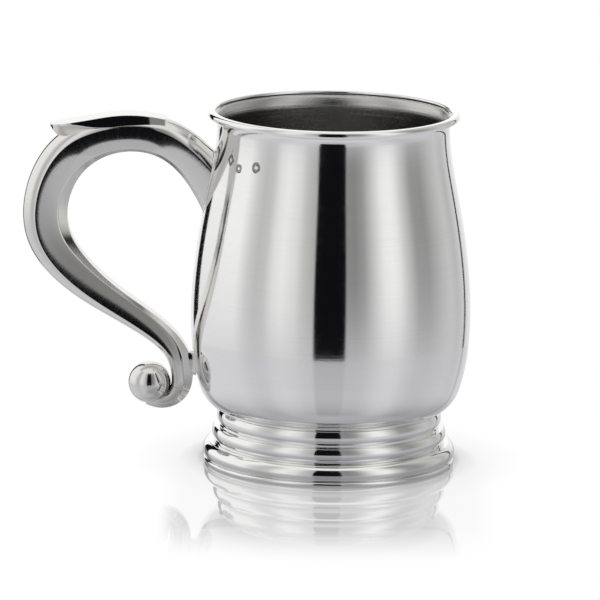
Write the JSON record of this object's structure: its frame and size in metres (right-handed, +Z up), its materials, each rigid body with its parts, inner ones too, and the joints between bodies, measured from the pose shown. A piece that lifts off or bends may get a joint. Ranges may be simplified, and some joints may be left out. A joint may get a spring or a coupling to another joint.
{
  "type": "tankard",
  "caption": "Lidless pewter tankard: polished tulip body with a wired lip, stepped spun foot, and a hollow scroll handle with a thumb leaf and a ball end.",
  "frame": {"origin": "centre of the resting face of the base wire, on the body's axis", "axes": "+Z up along the body's axis, -X towards the handle, +Y completes the right-handed frame"},
  "size_m": [0.1513, 0.0944, 0.12],
  "materials": {
    "polished_pewter": "mirror polished pewter with faint hand-buffing marks",
    "satin_pewter": "satin turned pewter",
    "solder": "bright tin solder"
  },
  "bodies": {
    "root": {"body_shell": "polished_pewter", "mouth_wire": "polished_pewter", "floor_disc": "satin_pewter", "floor_solder": "solder", "foot_solder": "solder", "foot_collar": "polished_pewter", "foot_flange": "polished_pewter", "base_wire": "polished_pewter", "handle_near_half": "polished_pewter", "handle_far_half": "polished_pewter", "scroll_terminal": "polished_pewter", "thumb_leaf": "polished_pewter", "handle_strut": "polished_pewter", "handle_solder": "solder"}
  },
  "joints": []
}
